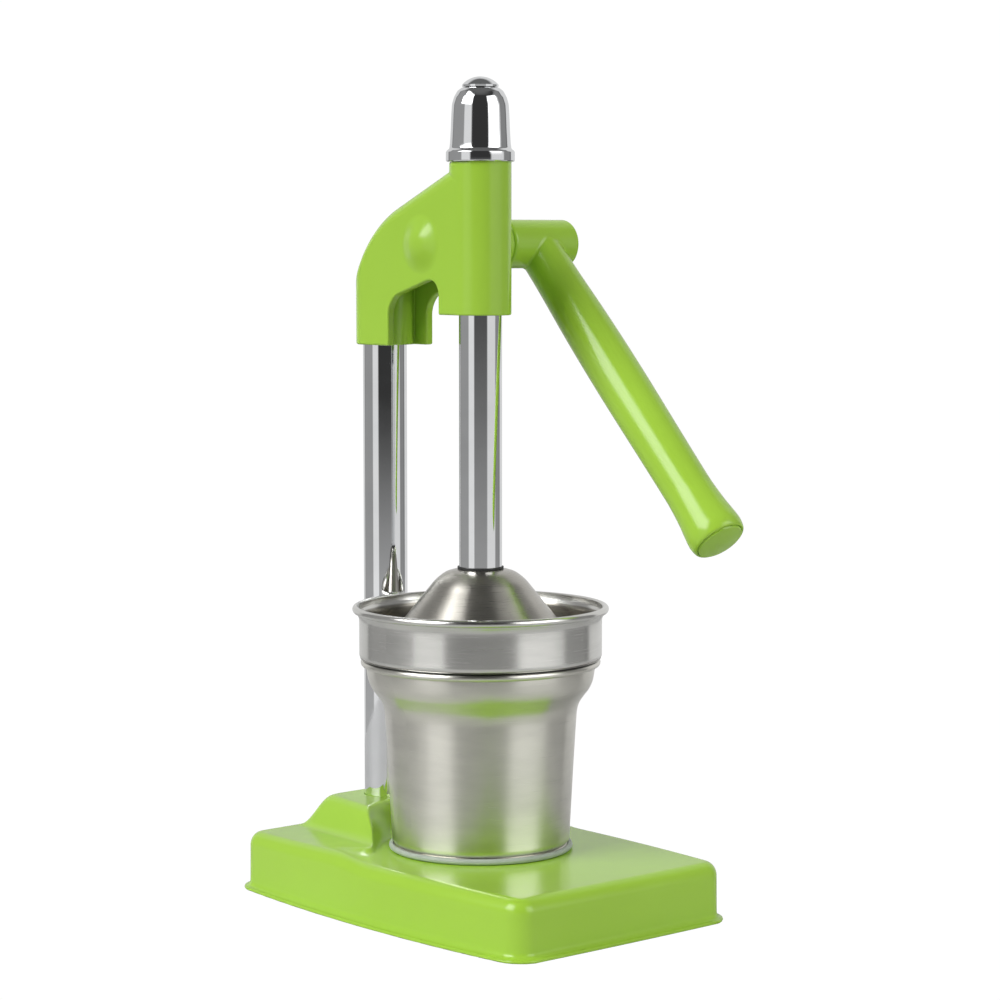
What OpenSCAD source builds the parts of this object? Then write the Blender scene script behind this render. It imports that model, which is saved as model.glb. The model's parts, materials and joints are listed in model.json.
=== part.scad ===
// Manual lever citrus press with a rack-driven plunger.
// Frame: +Z up, the cup at the front (-Y), the column at the rear (+Y), the lever hub on +X.
// Origin: on the plunger's axis, on the surface that the rubber feet stand on. Millimetres.

/* [Base] */
// Length of the base rim, front to back
base_l = 198.2; // [192:0.1:204]
// Width of the base rim at mid length
base_w = 136.5; // [132:0.1:140]
// Outward bow of the long sides over their length
side_bow = 6.7; // [3:0.1:8]
// Outward bow of the short sides over their length
end_bow = 0.6; // [0.2:0.1:1.5]
// Corner radius of the base rim
corner_r = 12; // [10:0.5:16]
// Height of the flat deck above the rim's lower edge
deck_h = 25.4; // [24:0.1:27]
// Height of the rear hump above the deck
hump_h = 14.6; // [12:0.1:16]
// Thickness of the pressed base sheet
sheet_t = 1.6; // [1.4:0.1:2]
// Clearance of the rim above the table
rim_gap = 0.8; // [0.5:0.1:1.2]

/* [Column and head] */
// Distance from the column's axis to the plunger's axis
reach = 67; // [66.9:0.1:68.5]
// Diameter of the chromed column tube
column_d = 20; // [19:0.5:20]
// Outside diameter of the head's sleeve and of its rear socket
head_d = 28.4; // [28:0.1:30]
// Height of the head's lower rear edge above the table
head_low_z = 247.8; // [246:0.1:249]
// Height of the sleeve's lower edge above the table
sleeve_low_z = 262.3; // [261:0.1:263]
// Height of the sleeve's upper edge above the table
sleeve_top_z = 328.8; // [328:0.1:330]

/* [Rack and pinion] */
// Height of the cross shaft above the table
shaft_z = 293.2; // [292.5:0.1:294]
// Gear module
gear_m = 2; // [2:2]
// Number of pinion teeth
pinion_teeth = 15; // [15:15]
// Diameter of the cross shaft
shaft_d = 10; // [9:0.5:10]

/* [Plunger and bell] */
// Diameter of the plunger rod
rod_d = 19; // [19:0.1:19.4]
// Height of the bell's top, where the rod ends
bell_top_z = 150.7; // [150:0.1:152]
// Height of the bell's lower edge at rest
bell_low_z = 122.5; // [122:0.1:124]

/* [Lever] */
// Angle of the lever below the horizontal at rest
lever_angle = 46.7; // [40:0.1:50]
// Length of the lever from the shaft's axis to its end
lever_l = 174.7; // [150:0.1:176]
// Distance of the lever's axis from the middle plane
lever_x = 54.2; // [52:0.1:56]

/* [Cup and bowl] */
// Height of the cup's rim bead above the table
cup_top_z = 111.1; // [110:0.1:111.1]
// Radius of the cup at its rim bead
cup_rim_r = 53; // [52.5:0.1:53.5]
// Outside radius of the bowl's rolled rim
bowl_rim_r = 56.7; // [56.2:0.1:56.7]

/* [Hidden] */
$fn = 64;

// Colours
green = [0.52, 0.74, 0.20];
chrome = [0.82, 0.83, 0.85];
stainless = [0.70, 0.69, 0.66];
steel = [0.55, 0.56, 0.58];
bronze = [0.72, 0.53, 0.28];
rubber = [0.12, 0.12, 0.12];
grey_rubber = [0.62, 0.66, 0.60];

// Clearances
slip = 0.05;            // radial clearance of a running fit
air = 0.3;              // gap between faces of different bodies
seat = 0.1;             // gap where one body stands on another

// Base levels and shape
rim_z = rim_gap;
deck_z = rim_z + deck_h;
hump_z = deck_z + hump_h;
flare = 3;              // width of the flared rim
rim_t = 1.4;            // height of the rim's outer edge
fillet_r = 6;           // rounding between the walls and the deck
step_h = 2;             // height of the rear deck above the front deck
base_y = 2;             // middle of the base, behind the plunger's axis
press_y = 0;
column_y = press_y + reach;
column_r = column_d / 2;
hump_front_r = 45;      // foot of the hump's hollow front, round the cup
hump_front_lean = 10.5; // how far that front leans back up to the hump's top
step_front_r = 66;      // rear deck's edge, flaring out to the sides
step_front_y = -32;

// Feet and column fixing
foot_r = 9;
foot_x = 42;
foot_front_y = base_y - 78;
foot_rear_y = base_y + 79;
stud_r = 2.5;
plate_t = 3;
plate_z = deck_z - sheet_t - plate_t;
bolt_r = 4;
column_top_z = 272;

// Head
head_r = head_d / 2;
leg_taper = 0.6;        // how much slimmer the head is round the column
wall = 3.7;             // thickness of the head's side plates
set_screw_z = [head_low_z + 7, head_low_z + 17];
crown_slope = 23.5;     // fall of the crown towards the rear, degrees
crown_r = 56;           // rounding of the head's rear shoulder
crown_soft = 9;         // rounding of the crown's long edges
leg_front_y = column_y - 18.6;
arch_peak_z = sleeve_low_z + 12.4;
arch_rear_r = 7;
arch_front_r = 9;
arch_turn = 74;          // how far the arch's rear rounding turns before its sloping top
rod_r = rod_d / 2;
bush_r = 12;
bush_l = 12;
shaft_r = shaft_d / 2;
pitch_r = gear_m * pinion_teeth / 2;
rack_pitch_d = 10;       // pitch line of the rack, behind the rod's axis
shaft_y = press_y + rack_pitch_d + pitch_r;
shaft_bush_r = 7;
boss_r = 11;
boss_end_x = 32.5;
bump_r = 9.5;
bump_h = 3.6;

// Rack and pinion
rack_w = 5;
pressure = 20;
backlash = 0.07;        // taken off each flank
addendum = gear_m;
rack_addendum = 0.8 * gear_m;
dedendum = 1.25 * gear_m;
pinion_w = 10;
pitch = PI * gear_m;
rack_low_z = shaft_z - 9 * pitch + pitch / 2;
rack_high_z = shaft_z + 2 * pitch + pitch / 2;
rack_back_d = 5;        // back face of the rack bar, behind the rod's axis
rod_top_z = 355;

// Lever
hub_r = 11;
hub_start_x = 33;
hub_end_x = 71.8;
hub_soft = 4;
bore_end_x = 64;

// Bowl and cup
bowl_wall_r = 53.65;
bowl_low_z = cup_top_z;
bowl_rim_z = 133.1;
bead_r = 1.6;
metal_t = 1;
plate_r = 51.8;
strainer_z = 113.2;
reamer_gap = 11;         // room for the squeezed peel, under the bell's top
cup_floor_z = deck_z + 2;

// ---------------------------------------------------------------- helpers

// Turns a drawing in (Y, Z) into a solid of width w about the middle plane.
module across(w) {
    rotate([90, 0, 90]) linear_extrude(w, center = true) children();
}

// A solid of revolution along X between two x values, at the shaft's axis.
module on_shaft(x0, r, x1) {
    translate([x0, shaft_y, shaft_z]) rotate([0, 90, 0]) cylinder(r = r, h = x1 - x0);
}

// Ring with square edges, standing on z0.
module ring(r_out, r_in, z0, h) {
    translate([0, 0, z0]) difference() {
        cylinder(r = r_out, h = h);
        translate([0, 0, -1]) cylinder(r = r_in, h = h + 2);
    }
}

function arc(cx, cy, r, a0, a1, n) =
    [for (i = [0:n]) let (a = a0 + (a1 - a0) * i / n) [cx + r * cos(a), cy + r * sin(a)]];

// Hexagon with the given distance between its flats.
module hexagon(flats, h) {
    cylinder(r = flats / 2 / cos(30), h = h, $fn = 6);
}

// Places children at the four feet.
module at_feet() {
    for (x = [-foot_x, foot_x]) {
        for (y = [foot_front_y, foot_rear_y]) translate([x, y, 0]) children();
    }
}

// ---------------------------------------------------------------- base

// Outline of the base, moved inwards by inset, with bowed sides.
function base_outline(inset) =
    let (a = base_w / 2 - inset, b = base_l / 2 - inset, r = max(corner_r - 0.7 * inset, 3))
    let (corners = [[1, 1, 0], [-1, 1, 90], [-1, -1, 180], [1, -1, 270]])
    let (steps = 6, side_steps = 10)
    [for (c = corners)
        let (p = arc(c[0] * (a - r), c[1] * (b - r), r, c[2], c[2] + 90, steps))
        let (along_x = c[2] == 0 || c[2] == 180)
        let (q = along_x ? [-c[0] * (a - r), c[1] * b] : [c[0] * a, -c[1] * (b - r)])
        for (k = [0:steps + side_steps - 1])
            let (t = (k - steps) / side_steps)
            let (m = k <= steps ? p[k] : p[steps] + (q - p[steps]) * t)
            [m[0] * (1 - side_bow / a * pow(m[1] / b, 2)),
             m[1] * (1 - end_bow / b * pow(m[0] / a, 2))]];

module base_slice(inset, z) {
    translate([0, 0, z]) linear_extrude(0.02) polygon(base_outline(inset));
}

// Block with the pan's outer walls and rounded upper edge, moved inwards by t.
module pan_block(t, low_z) {
    hull() {
        base_slice(flare + t, low_z);
        base_slice(flare + t + 0.3, deck_z - fillet_r);
        for (a = [30, 60]) {
            base_slice(flare + t + fillet_r * (1 - cos(a)), deck_z - t - (fillet_r - t) * (1 - sin(a)));
        }
        base_slice(flare + t + fillet_r, deck_z - t - 0.02);
    }
}

// One level of the hump: half widths at the rear and at the front.
module hump_slice(rear_half, front_half, rear_y, z) {
    translate([0, 0, z]) linear_extrude(0.02)
        polygon([[-rear_half, rear_y - 4], [4 - rear_half, rear_y], [rear_half - 4, rear_y],
                 [rear_half, rear_y - 4], [front_half, 20], [-front_half, 20]]);
}

module hump_block(t) {
    hull() {
        hump_slice(36 - t, 46 - t, 90 - t, deck_z - t - 0.1);
        hump_slice(26 - t, 34 - t, 83 - t, hump_z - 3 - t);
        hump_slice(22 - t, 30 - t, 79.5 - t, hump_z - t - 0.02);
    }
}

// Rear deck, a little higher than the front deck and rising towards the cup.
module rear_deck() {
    hull() {
        translate([0, 0, deck_z - 0.5]) linear_extrude(0.02) intersection() {
            polygon(base_outline(flare + fillet_r));
            translate([-80, step_front_y - 12]) square([160, 140]);
        }
        translate([-48, 86, deck_z]) cube([96, 1, 0.1]);
        translate([-56, -22, deck_z + step_h - 0.1]) cube([112, 40, 0.1]);
    }
}

module base_pan() {
    color(green) translate([0, base_y, 0]) difference() {
        union() {
            pan_block(0, rim_z);
            translate([0, 0, rim_z]) linear_extrude(rim_t) polygon(base_outline(0));
            translate([0, 0, rim_z]) linear_extrude(rim_t + 1) polygon(base_outline(flare / 2));
            difference() {
                union() {
                    hump_block(0);
                    rear_deck();
                }
                translate([0, press_y - base_y, deck_z])
                    cylinder(r1 = hump_front_r, r2 = hump_front_r + hump_front_lean, h = hump_h + 0.01);
                translate([0, step_front_y, deck_z]) cylinder(r = step_front_r, h = 60);
            }
        }
        pan_block(sheet_t, rim_z - 1);
        difference() {
            hump_block(sheet_t + 1);
            translate([0, press_y - base_y, deck_z - sheet_t - 1.5])
                cylinder(r1 = hump_front_r + 1.5, r2 = hump_front_r + hump_front_lean + 1.5, h = hump_h + 0.5);
        }
        translate([0, column_y - base_y, deck_z]) cylinder(r = column_r + slip, h = 40);
    }
}

// Steel plate under the hump, which the column stands on.
module support_plate() {
    color(steel) difference() {
        translate([-33, column_y - 25, plate_z]) cube([66, 42, plate_t]);
        translate([0, column_y, plate_z - 1]) cylinder(r = bolt_r + 0.3, h = plate_t + 2);
    }
}

module foot_studs() {
    color(steel) at_feet() {
        translate([0, 0, 6]) cylinder(r = stud_r, h = deck_z - sheet_t - 6 - 0.02);
    }
}

// Tall rubber feet, each over its own stud.
module rubber_feet() {
    color(rubber) at_feet() difference() {
        union() {
            cylinder(r1 = foot_r - 1, r2 = foot_r, h = 2);
            translate([0, 0, 2]) cylinder(r = foot_r, h = deck_z - sheet_t - 2.1);
        }
        translate([0, 0, -1]) cylinder(r = stud_r + slip, h = 40);
        translate([0, 0, -1]) cylinder(r = 5.5, h = 11);
    }
}

module foot_nuts() {
    color(steel) at_feet() translate([0, 0, 6]) difference() {
        hexagon(8, 4);
        translate([0, 0, -1]) cylinder(r = stud_r + slip, h = 6);
    }
}

// ---------------------------------------------------------------- column

module column_tube() {
    low = plate_z + plate_t;
    color(chrome) translate([0, column_y, 0]) ring(column_r, column_r - 1.5, low, column_top_z - low);
}

// Threaded plug fixed in the foot of the tube.
module column_plug() {
    color(steel) translate([0, column_y, 0])
        ring(column_r - 1.5 - slip, bolt_r + slip, plate_z + plate_t + 0.5, 24);
}

module column_washer() {
    color(steel) translate([0, column_y, 0]) ring(12, bolt_r + 0.3, plate_z - 2, 2);
}

// Bolt from below that pulls the column down on its plate.
module column_bolt() {
    color(steel) translate([0, column_y, plate_z - 2]) {
        translate([0, 0, -5.3]) hexagon(13, 5.3);
        cylinder(r = bolt_r, h = plate_t + 2 + 22);
    }
}

// ---------------------------------------------------------------- head

// Side view of the head from the sleeve's axis to its rear, lowered by drop.
module head_side(drop = 0) {
    r = crown_r - drop;
    cy = column_y + head_r - crown_r;
    front_z = sleeve_top_z - 4.4 - drop / cos(crown_slope);
    tangent_y = cy + r * sin(crown_slope);
    tangent_z = front_z - (tangent_y - press_y - head_r) * tan(crown_slope);
    cz = tangent_z - r * cos(crown_slope);
    polygon(concat(
        [[press_y, head_low_z - 1], [press_y, front_z + head_r * tan(crown_slope)]],
        arc(cy, cz, r, 90 - crown_slope, 0, 20),
        [[cy + r, head_low_z - 1]]));
}

// Space under the head between the rear leg and the sleeve, drawn in (Y, Z).
module arch_shape() {
    sleeve_edge = press_y + head_r - 0.5;
    rear_y = leg_front_y - arch_rear_r;
    front_y = sleeve_edge + arch_front_r;
    front_z = arch_peak_z - arch_front_r;
    // height at which both roundings share one tangent
    rear_z = front_z + ((front_y - rear_y) * cos(arch_turn) - arch_rear_r + arch_front_r) / sin(arch_turn);
    polygon(concat(
        [[leg_front_y, head_low_z - 5]],
        arc(rear_y, rear_z, arch_rear_r, 0, arch_turn, 8),
        arc(front_y, front_z, arch_front_r, arch_turn, 180, 10),
        [[sleeve_edge, sleeve_low_z], [press_y - 20, sleeve_low_z], [press_y - 20, head_low_z - 5]]));
}

// Plan of the head: two round ends and the plates between them.
module head_plan(r) {
    hull() {
        translate([0, press_y]) circle(r);
        translate([0, column_y]) circle(r - leg_taper);
    }
}

module head_casting() {
    steps = 3;
    cavity_r = head_r - wall;
    color(green) difference() {
        union() {
            intersection() {
                translate([0, 0, head_low_z]) linear_extrude(100) head_plan(head_r);
                union() {
                    for (i = [0:steps]) {
                        a = 90 * (i + 0.5) / (steps + 1);
                        across(2 * (head_r - crown_soft * (1 - sin(a)))) difference() {
                            head_side(crown_soft * (1 - cos(a)));
                            arch_shape();
                        }
                    }
                }
            }
            translate([0, press_y, sleeve_low_z]) cylinder(r = head_r, h = sleeve_top_z - sleeve_low_z);
            on_shaft(head_r - 1, boss_r, boss_end_x);
            intersection() {
                on_shaft(-head_r - bump_h, bump_r, -head_r + 1);
                translate([bump_r * bump_r / bump_h / 2 + bump_h / 2 - head_r - bump_h, shaft_y, shaft_z])
                    sphere(r = bump_r * bump_r / bump_h / 2 + bump_h / 2);
            }
        }
        // cavity between the plates, round the pinion
        difference() {
            across(2 * cavity_r) polygon(concat(
                [[press_y + 4, 276], [press_y + 4, 312.5], [column_y - 35, 312.5], [column_y - 18, 300]],
                [[column_y - 15, 292.5], [column_y - 15, 240], [leg_front_y - 2, 240]],
                [[leg_front_y - 2, 260], [press_y + 14.5, 263], [press_y + 14.5, 276]]));
            on_shaft(-cavity_r - 1, boss_r - 1.5, -pinion_w / 2 - 1.1);
            on_shaft(pinion_w / 2 + 1.1, boss_r - 1.5, cavity_r + 1);
            translate([0, column_y, head_low_z - 1]) cylinder(r = head_r - 1, h = 50);
            translate([0, press_y, sleeve_low_z]) difference() {
                cylinder(r = head_r, h = sleeve_top_z - sleeve_low_z);
                translate([-pinion_w / 2 - 1, 0, bush_l + 1.5]) cube([pinion_w + 2, 30, 38]);
            }
        }
        // bores for the plunger and its bushes, with a keyway for the rack
        translate([0, press_y, sleeve_low_z - 1]) {
            cylinder(r = rod_r + 1, h = 80);
            cylinder(r = bush_r, h = bush_l + 1);
            translate([-rack_w / 2 - 0.4, 0, 0]) cube([rack_w + 0.8, rack_pitch_d + rack_addendum + 0.5, 80]);
        }
        translate([0, press_y, sleeve_top_z - bush_l]) cylinder(r = bush_r, h = bush_l + 1);
        // column socket and its two set screws
        translate([0, column_y, head_low_z - 1])
            cylinder(r = column_r + slip, h = column_top_z - head_low_z + 1.2);
        set_screw_holes(3);
        // shaft bearings
        on_shaft(-head_r + 0.8, shaft_bush_r, -4);
        on_shaft(4, shaft_bush_r, boss_end_x + 1);
    }
}

module set_screw_holes(r) {
    for (z = set_screw_z) {
        translate([0, column_y + column_r - 1, z]) rotate([-90, 0, 0]) cylinder(r = r, h = 10);
    }
}

// Two grub screws in the back of the socket, which hold the column.
module column_set_screws() {
    color(steel) for (z = set_screw_z) {
        translate([0, column_y + column_r + 0.02, z]) rotate([-90, 0, 0]) difference() {
            cylinder(r = 3 - 0.02, h = 3);
            translate([0, 0, 1.2]) hexagon(3, 4);
        }
    }
}

// Guide bush for the plunger, with a slot that the rack passes through.
module guide_bush(z0) {
    color(bronze) translate([0, press_y, 0]) difference() {
        ring(bush_r - 0.02, rod_r + slip, z0, bush_l);
        translate([-rack_w / 2 - 0.3, 0, z0 - 1])
            cube([rack_w + 0.6, bush_r + 1, bush_l + 2]);
    }
}

module upper_guide_bush() {
    guide_bush(sleeve_top_z - bush_l);
}

module lower_guide_bush() {
    guide_bush(sleeve_low_z);
}

module shaft_bush(x0, x1) {
    color(bronze) difference() {
        on_shaft(x0, shaft_bush_r - 0.02, x1);
        on_shaft(x0 - 1, shaft_r + slip, x1 + 1);
    }
}

module left_shaft_bush() {
    shaft_bush(-head_r + 1, -pinion_w / 2 - 1.2);
}

module right_shaft_bush() {
    shaft_bush(pinion_w / 2 + 1.2, boss_end_x - 0.2);
}

// ---------------------------------------------------------------- shaft and pinion

key_w = 3;

module cross_shaft() {
    color(steel) difference() {
        on_shaft(-head_r + 1.4, shaft_r, bore_end_x - 0.5);
        key_space(0);
    }
}

// Square key between the shaft and the pinion, smaller by gap on every side.
module key_space(gap) {
    translate([-pinion_w / 2 + gap, shaft_y - key_w / 2 + gap, shaft_z + shaft_r - key_w / 2 + gap])
        cube([pinion_w - 2 * gap, key_w - 2 * gap, key_w - 2 * gap]);
}

module pinion_key() {
    color(steel) key_space(0.02);
}

// Angle in degrees of the involute at radius r.
function involute(r, base) = let (q = acos(base / r)) tan(q) * 180 / PI - q;

// One tooth of the pinion about the angle a, from root to tip to root.
function tooth(a) =
    let (base = pitch_r * cos(pressure), tip = pitch_r + addendum, root = pitch_r - dedendum)
    let (half = 90 / pinion_teeth - backlash / pitch_r * 180 / PI + involute(pitch_r, base))
    let (n = 6, radii = [for (i = [0:n]) base + (tip - base) * i / n])
    concat(
        [[root, a - half]],
        [for (r = radii) [r, a - half + involute(r, base)]],
        [for (i = [n:-1:0]) [radii[i], a + half - involute(radii[i], base)]],
        [[root, a + half]]);

module pinion() {
    turn = 360 / pinion_teeth;
    outline = [for (i = [0:pinion_teeth - 1]) for (p = tooth(180 + (i + 0.5) * turn)) p];
    color(steel) difference() {
        translate([0, shaft_y, shaft_z]) across(pinion_w)
            polygon([for (p = outline) [p[0] * cos(p[1]), p[0] * sin(p[1])]]);
        on_shaft(-10, shaft_r + 0.02, 10);
        key_space(0);
    }
}

module thrust_washers() {
    color(bronze) for (x = [-pinion_w / 2 - 1.05, pinion_w / 2 + 0.05]) difference() {
        on_shaft(x, 8, x + 1);
        on_shaft(x - 1, shaft_r + 0.1, x + 2);
    }
}

// ---------------------------------------------------------------- lever

// Puts children, drawn along +Z, on the lever's axis.
module on_lever() {
    translate([lever_x, shaft_y, shaft_z]) rotate([90 + lever_angle, 0, 0]) children();
}

// Half of the lever's outline as [radius, distance from the shaft].
function lever_profile() =
    [[9.9, 6], [10.1, 22], [10.8, 46], [11.2, 66], [11.2, 86], [10.9, 118], [10.7, 146],
     [11.2, lever_l - 20], [12.1, lever_l - 11], [12.6, lever_l - 5.7], [12.2, lever_l - 2.2],
     [11.3, lever_l - 0.3]];

module handle_lever() {
    color(green) difference() {
        union() {
            translate([0, shaft_y, shaft_z]) rotate([0, 90, 0]) rotate_extrude()
                polygon(concat(
                    [[0, hub_start_x], [hub_r, hub_start_x]],
                    arc(hub_r - hub_soft, hub_end_x - hub_soft, hub_soft, 0, 90, 8),
                    [[0, hub_end_x]]));
            on_lever() rotate_extrude()
                polygon(concat([[0, 6]], lever_profile(), [[0, lever_l - 0.3]]));
        }
        on_shaft(hub_start_x - 1, shaft_r + 0.02, bore_end_x);
        on_lever() translate([0, 0, 30]) cylinder(r = 7.5, h = 200);
        on_lever() translate([0, 0, lever_l - 4]) cylinder(r = 10.6, h = 10);
        translate([43, shaft_y, shaft_z]) rotate([-90, 0, 0]) cylinder(r = 2.5, h = 20);
    }
}

// Shallow domed disc that closes the lever's end.
module handle_end_plug() {
    dome_r = 40;
    color(green) on_lever() union() {
        translate([0, 0, lever_l - 14]) cylinder(r = 7.4, h = 11);
        intersection() {
            translate([0, 0, lever_l - 3.9]) cylinder(r = 10.5, h = 8);
            translate([0, 0, lever_l + 1 - dome_r]) sphere(r = dome_r, $fn = 96);
        }
    }
}

module handle_set_screw() {
    color(steel) translate([43, shaft_y + shaft_r + 0.05, shaft_z]) rotate([-90, 0, 0]) difference() {
        cylinder(r = 2.5 - 0.02, h = 5.5);
        translate([0, 0, 3]) hexagon(2.5, 4);
    }
}

// ---------------------------------------------------------------- plunger

module plunger_rod() {
    color(chrome) translate([0, press_y, 0]) difference() {
        translate([0, 0, bell_top_z + 1.02]) cylinder(r = rod_r, h = rod_top_z - bell_top_z - 1.02);
        translate([-rack_w / 2 - 0.02, rack_back_d - 0.02, rack_low_z - 0.02])
            cube([rack_w + 0.04, 20, rack_high_z - rack_low_z + 0.04]);
        translate([0, 0, bell_top_z]) cylinder(r = 3 + slip, h = 18);
        translate([0, 0, rod_top_z - 18]) cylinder(r = 3 + slip, h = 20);
        // flat that clears the pinion's teeth beside the rack
        translate([-rod_d / 2, rack_pitch_d - 3, rack_low_z])
            cube([rod_d, 20, rack_high_z - rack_low_z]);
        at_rack_screws() cylinder(r = 1.5 + slip, h = 20);
    }
}

// Two screws through the rack's ends, along +Y.
module at_rack_screws() {
    for (z = [rack_low_z + pitch / 2 + pitch, rack_high_z - pitch]) {
        translate([0, -3, z]) rotate([-90, 0, 0]) children();
    }
}

// Toothed bar let into the back of the rod.
module rack_bar() {
    teeth = round((rack_high_z - rack_low_z) / pitch);
    root = rack_pitch_d - dedendum;
    tip = rack_pitch_d + rack_addendum;
    tip_half = pitch / 4 - backlash - rack_addendum * tan(pressure);
    root_half = pitch / 4 - backlash + dedendum * tan(pressure);
    edge = [for (i = [0:teeth - 1]) let (z = rack_low_z + (i + 0.5) * pitch)
        for (q = [[root, z - root_half], [tip, z - tip_half], [tip, z + tip_half], [root, z + root_half]]) q];
    color(steel) difference() {
        translate([0, press_y, 0]) across(rack_w)
            polygon(concat([[rack_back_d, rack_low_z]], [[root, rack_low_z]], edge,
                           [[root, rack_high_z], [rack_back_d, rack_high_z]]));
        translate([0, press_y, 0]) at_rack_screws() cylinder(r = 1.5 + slip, h = 20);
    }
}

module rack_screws() {
    color(steel) translate([0, press_y, 0]) at_rack_screws() cylinder(r = 1.5, h = 8);
}

// Chromed dome that covers the top of the rod and stops it on the sleeve.
module cap_dome() {
    z0 = sleeve_top_z + seat;
    color(chrome) translate([0, press_y, 0]) difference() {
        rotate_extrude() polygon(concat(
            [[0, z0], [15.05, z0], [15.05, z0 + 4.6], [14.6, z0 + 5.2], [13.4, z0 + 6.4]],
            [[13.1, z0 + 9], [12.75, z0 + 16]],
            [[12.6, z0 + 20.4], [12.4, z0 + 25.1], [11.55, z0 + 27.7], [10.45, z0 + 30.3]],
            [[9.2, z0 + 31.6], [8.3, z0 + 32.2], [0, z0 + 32.3]]));
        translate([0, 0, z0 - 1]) cylinder(r = 11.4, h = rod_top_z - z0 + 1);
        translate([0, 0, z0 + 10]) cylinder(r = 3 + slip, h = 30);
    }
}

// Domed screw through the cap into the rod.
module cap_screw() {
    dome_r = 10.7;
    head_z = sleeve_top_z + seat + 32.4;
    color(chrome) translate([0, press_y, 0]) {
        intersection() {
            translate([0, 0, head_z]) cylinder(r = 8, h = 10);
            translate([0, 0, head_z + 4.5 - dome_r]) sphere(r = dome_r);
        }
        translate([0, 0, rod_top_z - 14]) cylinder(r = 3, h = head_z - rod_top_z + 14.5);
    }
}

module bell_gasket() {
    color(rubber) translate([0, press_y, 0]) ring(rod_r + 0.7, 3.3, bell_top_z, 1);
}

// Outer outline of the bell as [radius, z], from its top to its lower edge.
function bell_line(offset_r) =
    [[12, bell_top_z - 0.8], [16, bell_top_z - 2.2], [20, bell_top_z - 5.2],
     [23.4 - offset_r, bell_top_z - 9], [38.5 - offset_r, bell_low_z + 1.2]];

module press_bell() {
    t = 1.5;
    outer = concat([[3.3, bell_top_z - 0.1], [10.5, bell_top_z - 0.1]], bell_line(0),
                   [[39.6, bell_low_z + 0.6], [39.6, bell_low_z]]);
    inner = [[38.5 - t, bell_low_z], [37.2 - t, bell_low_z + 1.5], [22.6 - t, bell_top_z - 10],
             [18.4, bell_top_z - 6.4], [14.6, bell_top_z - 3.8], [10.5, bell_top_z - 2.6],
             [3.3, bell_top_z - 2.6]];
    color(stainless) translate([0, press_y, 0]) rotate_extrude() polygon(concat(outer, inner));
}

module bell_washer() {
    color(steel) translate([0, press_y, 0]) ring(8, 3.3, bell_top_z - 3.7, 1);
}

module bell_bolt() {
    color(steel) translate([0, press_y, bell_top_z - 3.75]) {
        translate([0, 0, -2.6]) cylinder(r = 5, h = 2.6);
        cylinder(r = 3, h = 18);
    }
}

// ---------------------------------------------------------------- bowl, strainer and cup

module juice_bowl() {
    z0 = bowl_low_z + seat;
    r = bowl_wall_r;
    t = metal_t;
    rim = arc(bowl_rim_r - bead_r, bowl_rim_z, bead_r, -120, 150, 10);
    color(stainless) translate([0, press_y, 0]) rotate_extrude() polygon(concat(
        [[49, z0], [r - 1, z0], [r, z0 + 1], [r, bowl_rim_z - 3]],
        rim,
        [[r - t, bowl_rim_z - 1.5], [r - t, z0 + 2.2], [50.6, z0 + 1.4], [44, 108.4], [11, 103.4]],
        [[9, 101.5], [9, 97]],
        [[10, 97], [10, 101], [11.6, 102.2], [44, 107], [47.9, 107.8], [47.9, 106], [49, 106]]));
}

// Perforated strainer with a ribbed reaming cone in the middle.
module strainer_cone() {
    top = bell_top_z - reamer_gap - 3;
    hole_rows = [[45, 30], [40, 26]];
    color(stainless) translate([0, press_y, 0]) difference() {
        union() {
            rotate_extrude() polygon([[plate_r, strainer_z], [plate_r, strainer_z + 1], [35.5, strainer_z + 1],
                [30, 118], [7, top - 3], [4, top], [0, top + 0.6],
                [0, top - 1.2], [3.2, top - 2], [5.8, top - 4], [29.3, 116.6], [35, strainer_z]]);
            for (a = [0:45:315]) rotate([0, 0, a]) across(1.6)
                polygon([[6, top - 3.4], [29, 117.5], [32, 116], [30.6, 119.4], [8.2, top - 2.2], [6.4, top - 2.2]]);
        }
        for (row = hole_rows) {
            for (i = [0:row[1] - 1]) rotate([0, 0, i * 360 / row[1]])
                translate([row[0], 0, strainer_z - 1]) cylinder(r = 1.6, h = 4);
        }
    }
}

// Cup wall as [radius, z], from the foot to the neck, moved inwards by t.
function cup_line(t) =
    [[39.3 - t, deck_z + 4], [40 - t, 42], [40.8 - t, 56], [41.6 - t, 71.3], [42.5 - t, 86],
     [43.7 - t, 91.5], [46.4 - t, 95.5], [48.9 - t, 99.5], [50.2 - t, 104.5], [50.6 - t, 107]];

function backwards(list) = [for (i = [len(list) - 1:-1:0]) list[i]];

module juice_cup() {
    color(stainless) translate([0, press_y, 0]) rotate_extrude() polygon(concat(
        [[0, cup_floor_z - 1], [38, cup_floor_z - 1], [38.6, cup_floor_z]],
        cup_line(0),
        arc(cup_rim_r - bead_r, cup_top_z - bead_r, bead_r, -140, 150, 10),
        backwards(cup_line(metal_t)),
        [[37.6, cup_floor_z], [0, cup_floor_z]]));
}

// Rubber ring round the cup's foot.
module cup_foot_ring() {
    color(grey_rubber) translate([0, press_y, 0]) rotate_extrude() polygon(concat(
        [[38.1, deck_z + seat]],
        arc(39.55, deck_z + seat + 1.3, 1.3, -90, 90, 8),
        [[39.2, deck_z + seat + 2.6], [38.65, cup_floor_z - 0.1], [38.1, cup_floor_z - 1.1]]));
}

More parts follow.
